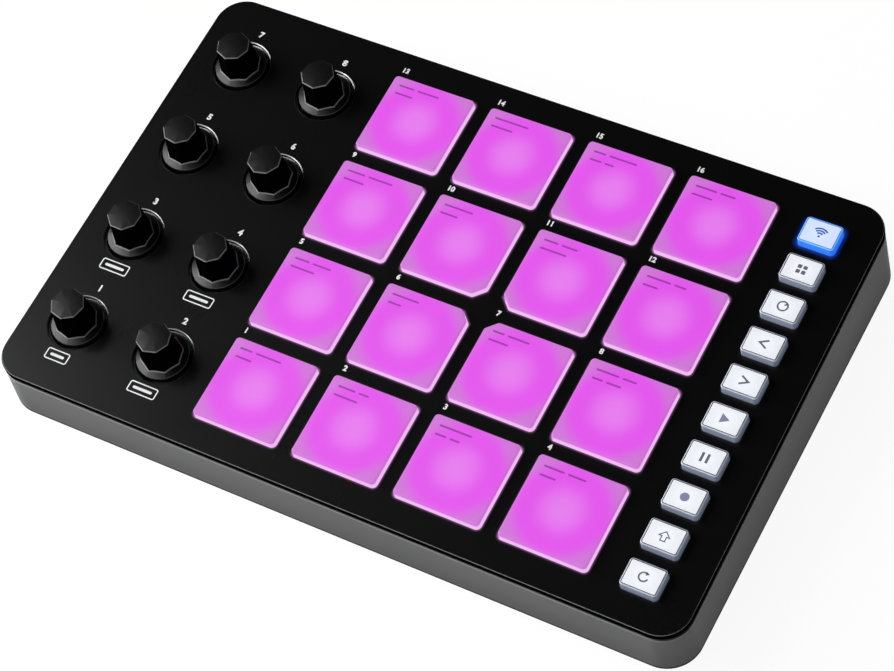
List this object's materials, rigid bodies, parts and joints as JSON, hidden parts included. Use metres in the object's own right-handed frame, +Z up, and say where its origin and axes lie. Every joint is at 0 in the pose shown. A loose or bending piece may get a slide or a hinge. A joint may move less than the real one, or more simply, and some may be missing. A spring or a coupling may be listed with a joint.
{
  "type": "midi pad controller",
  "caption": "Wedge-shaped desktop music controller with a square grid of lit silicone pads, endless octagonal knobs and a column of lit keys.",
  "frame": {"origin": "on the table, under the middle of the case", "axes": "+X to the player's right, +Y to the rear, +Z up"},
  "size_m": [0.2276, 0.149, 0.0371],
  "materials": {
    "panel_black": "satin",
    "case_grey": "fine matt grain",
    "cover_black": "fine matt grain",
    "foot_rubber": "matt",
    "screw_steel": "zinc plated",
    "board_green": "solder mask",
    "chip_black": "matt moulding",
    "film_amber": "film",
    "frame_white": "matt",
    "led_white": "clear resin",
    "contact_gold": "plated",
    "encoder_metal": "pressed sheet",
    "shaft_metal": "turned",
    "socket_metal": "drawn shell",
    "cell_foil": "pouch foil",
    "wire_red": "wire sleeve",
    "pad_silicone": "translucent silicone, lit from below",
    "key_white": "translucent, lit from below",
    "key_blue": "translucent, lit blue from below",
    "knob_black": "satin"
  },
  "bodies": {
    "case": {"top_panel": "panel_black", "case_frame": "case_grey", "base_cover": "cover_black", "rubber_feet": "foot_rubber", "case_screws": "screw_steel", "main_board": "board_green", "board_screws": "screw_steel", "board_chips": "chip_black", "pad_sensor_film": "film_amber", "pad_light_frame": "frame_white", "leds": "led_white", "key_contacts": "contact_gold", "encoder_housings": "encoder_metal", "usb_socket": "socket_metal", "power_switch_body": "chip_black", "battery_cell": "cell_foil", "battery_lead": "wire_red"},
    "pad_1": {"pad_1": "pad_silicone"},
    "pad_2": {"pad_2": "pad_silicone"},
    "pad_3": {"pad_3": "pad_silicone"},
    "pad_4": {"pad_4": "pad_silicone"},
    "pad_5": {"pad_5": "pad_silicone"},
    "pad_6": {"pad_6": "pad_silicone"},
    "pad_7": {"pad_7": "pad_silicone"},
    "pad_8": {"pad_8": "pad_silicone"},
    "pad_9": {"pad_9": "pad_silicone"},
    "pad_10": {"pad_10": "pad_silicone"},
    "pad_11": {"pad_11": "pad_silicone"},
    "pad_12": {"pad_12": "pad_silicone"},
    "pad_13": {"pad_13": "pad_silicone"},
    "pad_14": {"pad_14": "pad_silicone"},
    "pad_15": {"pad_15": "pad_silicone"},
    "pad_16": {"pad_16": "pad_silicone"},
    "wireless_key": {"wireless_key": "key_blue"},
    "pad_bank_key": {"pad_bank_key": "key_white"},
    "knob_bank_key": {"knob_bank_key": "key_white"},
    "left_key": {"left_key": "key_white"},
    "right_key": {"right_key": "key_white"},
    "play_key": {"play_key": "key_white"},
    "pause_key": {"pause_key": "key_white"},
    "record_key": {"record_key": "key_white"},
    "shift_key": {"shift_key": "key_white"},
    "repeat_key": {"repeat_key": "key_white"},
    "knob_1": {"knob_1": "knob_black", "encoder_shaft_1": "shaft_metal"},
    "knob_2": {"knob_2": "knob_black", "encoder_shaft_2": "shaft_metal"},
    "knob_3": {"knob_3": "knob_black", "encoder_shaft_3": "shaft_metal"},
    "knob_4": {"knob_4": "knob_black", "encoder_shaft_4": "shaft_metal"},
    "knob_5": {"knob_5": "knob_black", "encoder_shaft_5": "shaft_metal"},
    "knob_6": {"knob_6": "knob_black", "encoder_shaft_6": "shaft_metal"},
    "knob_7": {"knob_7": "knob_black", "encoder_shaft_7": "shaft_metal"},
    "knob_8": {"knob_8": "knob_black", "encoder_shaft_8": "shaft_metal"},
    "power_switch": {"power_switch": "chip_black"}
  },
  "joints": [
    {"name": "pad_1_press", "type": "slide", "parent": "case", "child": "pad_1", "axis": [0, -0.0401, 0.9992], "range_m": [-0.001, 0], "stiffness_N_per_m": 800, "springref_m": 0.0005},
    {"name": "pad_2_press", "type": "slide", "parent": "case", "child": "pad_2", "axis": [0, -0.0401, 0.9992], "range_m": [-0.001, 0], "stiffness_N_per_m": 800, "springref_m": 0.0005},
    {"name": "pad_3_press", "type": "slide", "parent": "case", "child": "pad_3", "axis": [0, -0.0401, 0.9992], "range_m": [-0.001, 0], "stiffness_N_per_m": 800, "springref_m": 0.0005},
    {"name": "pad_4_press", "type": "slide", "parent": "case", "child": "pad_4", "axis": [0, -0.0401, 0.9992], "range_m": [-0.001, 0], "stiffness_N_per_m": 800, "springref_m": 0.0005},
    {"name": "pad_5_press", "type": "slide", "parent": "case", "child": "pad_5", "axis": [0, -0.0401, 0.9992], "range_m": [-0.001, 0], "stiffness_N_per_m": 800, "springref_m": 0.0005},
    {"name": "pad_6_press", "type": "slide", "parent": "case", "child": "pad_6", "axis": [0, -0.0401, 0.9992], "range_m": [-0.001, 0], "stiffness_N_per_m": 800, "springref_m": 0.0005},
    {"name": "pad_7_press", "type": "slide", "parent": "case", "child": "pad_7", "axis": [0, -0.0401, 0.9992], "range_m": [-0.001, 0], "stiffness_N_per_m": 800, "springref_m": 0.0005},
    {"name": "pad_8_press", "type": "slide", "parent": "case", "child": "pad_8", "axis": [0, -0.0401, 0.9992], "range_m": [-0.001, 0], "stiffness_N_per_m": 800, "springref_m": 0.0005},
    {"name": "pad_9_press", "type": "slide", "parent": "case", "child": "pad_9", "axis": [0, -0.0401, 0.9992], "range_m": [-0.001, 0], "stiffness_N_per_m": 800, "springref_m": 0.0005},
    {"name": "pad_10_press", "type": "slide", "parent": "case", "child": "pad_10", "axis": [0, -0.0401, 0.9992], "range_m": [-0.001, 0], "stiffness_N_per_m": 800, "springref_m": 0.0005},
    {"name": "pad_11_press", "type": "slide", "parent": "case", "child": "pad_11", "axis": [0, -0.0401, 0.9992], "range_m": [-0.001, 0], "stiffness_N_per_m": 800, "springref_m": 0.0005},
    {"name": "pad_12_press", "type": "slide", "parent": "case", "child": "pad_12", "axis": [0, -0.0401, 0.9992], "range_m": [-0.001, 0], "stiffness_N_per_m": 800, "springref_m": 0.0005},
    {"name": "pad_13_press", "type": "slide", "parent": "case", "child": "pad_13", "axis": [0, -0.0401, 0.9992], "range_m": [-0.001, 0], "stiffness_N_per_m": 800, "springref_m": 0.0005},
    {"name": "pad_14_press", "type": "slide", "parent": "case", "child": "pad_14", "axis": [0, -0.0401, 0.9992], "range_m": [-0.001, 0], "stiffness_N_per_m": 800, "springref_m": 0.0005},
    {"name": "pad_15_press", "type": "slide", "parent": "case", "child": "pad_15", "axis": [0, -0.0401, 0.9992], "range_m": [-0.001, 0], "stiffness_N_per_m": 800, "springref_m": 0.0005},
    {"name": "pad_16_press", "type": "slide", "parent": "case", "child": "pad_16", "axis": [0, -0.0401, 0.9992], "range_m": [-0.001, 0], "stiffness_N_per_m": 800, "springref_m": 0.0005},
    {"name": "wireless_key_press", "type": "slide", "parent": "case", "child": "wireless_key", "axis": [0, -0.0401, 0.9992], "range_m": [-0.0008, 0], "stiffness_N_per_m": 500, "springref_m": 0.0005},
    {"name": "pad_bank_key_press", "type": "slide", "parent": "case", "child": "pad_bank_key", "axis": [0, -0.0401, 0.9992], "range_m": [-0.0008, 0], "stiffness_N_per_m": 500, "springref_m": 0.0005},
    {"name": "knob_bank_key_press", "type": "slide", "parent": "case", "child": "knob_bank_key", "axis": [0, -0.0401, 0.9992], "range_m": [-0.0008, 0], "stiffness_N_per_m": 500, "springref_m": 0.0005},
    {"name": "left_key_press", "type": "slide", "parent": "case", "child": "left_key", "axis": [0, -0.0401, 0.9992], "range_m": [-0.0008, 0], "stiffness_N_per_m": 500, "springref_m": 0.0005},
    {"name": "right_key_press", "type": "slide", "parent": "case", "child": "right_key", "axis": [0, -0.0401, 0.9992], "range_m": [-0.0008, 0], "stiffness_N_per_m": 500, "springref_m": 0.0005},
    {"name": "play_key_press", "type": "slide", "parent": "case", "child": "play_key", "axis": [0, -0.0401, 0.9992], "range_m": [-0.0008, 0], "stiffness_N_per_m": 500, "springref_m": 0.0005},
    {"name": "pause_key_press", "type": "slide", "parent": "case", "child": "pause_key", "axis": [0, -0.0401, 0.9992], "range_m": [-0.0008, 0], "stiffness_N_per_m": 500, "springref_m": 0.0005},
    {"name": "record_key_press", "type": "slide", "parent": "case", "child": "record_key", "axis": [0, -0.0401, 0.9992], "range_m": [-0.0008, 0], "stiffness_N_per_m": 500, "springref_m": 0.0005},
    {"name": "shift_key_press", "type": "slide", "parent": "case", "child": "shift_key", "axis": [0, -0.0401, 0.9992], "range_m": [-0.0008, 0], "stiffness_N_per_m": 500, "springref_m": 0.0005},
    {"name": "repeat_key_press", "type": "slide", "parent": "case", "child": "repeat_key", "axis": [0, -0.0401, 0.9992], "range_m": [-0.0008, 0], "stiffness_N_per_m": 500, "springref_m": 0.0005},
    {"name": "knob_1_turn", "type": "hinge", "parent": "case", "child": "knob_1", "pos_m": [-0.0956, -0.05074, 0.02144], "axis": [0, -0.0401, 0.9992], "continuous": true},
    {"name": "knob_2_turn", "type": "hinge", "parent": "case", "child": "knob_2", "pos_m": [-0.0653, -0.05074, 0.02144], "axis": [0, -0.0401, 0.9992], "continuous": true},
    {"name": "knob_3_turn", "type": "hinge", "parent": "case", "child": "knob_3", "pos_m": [-0.0956, -0.01751, 0.02278], "axis": [0, -0.0401, 0.9992], "continuous": true},
    {"name": "knob_4_turn", "type": "hinge", "parent": "case", "child": "knob_4", "pos_m": [-0.0653, -0.01751, 0.02278], "axis": [0, -0.0401, 0.9992], "continuous": true},
    {"name": "knob_5_turn", "type": "hinge", "parent": "case", "child": "knob_5", "pos_m": [-0.0956, 0.01571, 0.02411], "axis": [0, -0.0401, 0.9992], "continuous": true},
    {"name": "knob_6_turn", "type": "hinge", "parent": "case", "child": "knob_6", "pos_m": [-0.0653, 0.01571, 0.02411], "axis": [0, -0.0401, 0.9992], "continuous": true},
    {"name": "knob_7_turn", "type": "hinge", "parent": "case", "child": "knob_7", "pos_m": [-0.0956, 0.04893, 0.02544], "axis": [0, -0.0401, 0.9992], "continuous": true},
    {"name": "knob_8_turn", "type": "hinge", "parent": "case", "child": "knob_8", "pos_m": [-0.0653, 0.04893, 0.02544], "axis": [0, -0.0401, 0.9992], "continuous": true},
    {"name": "power_switch_slide", "type": "slide", "parent": "case", "child": "power_switch", "axis": [1, 0, 0], "range_m": [0, 0.002]}
  ]
}
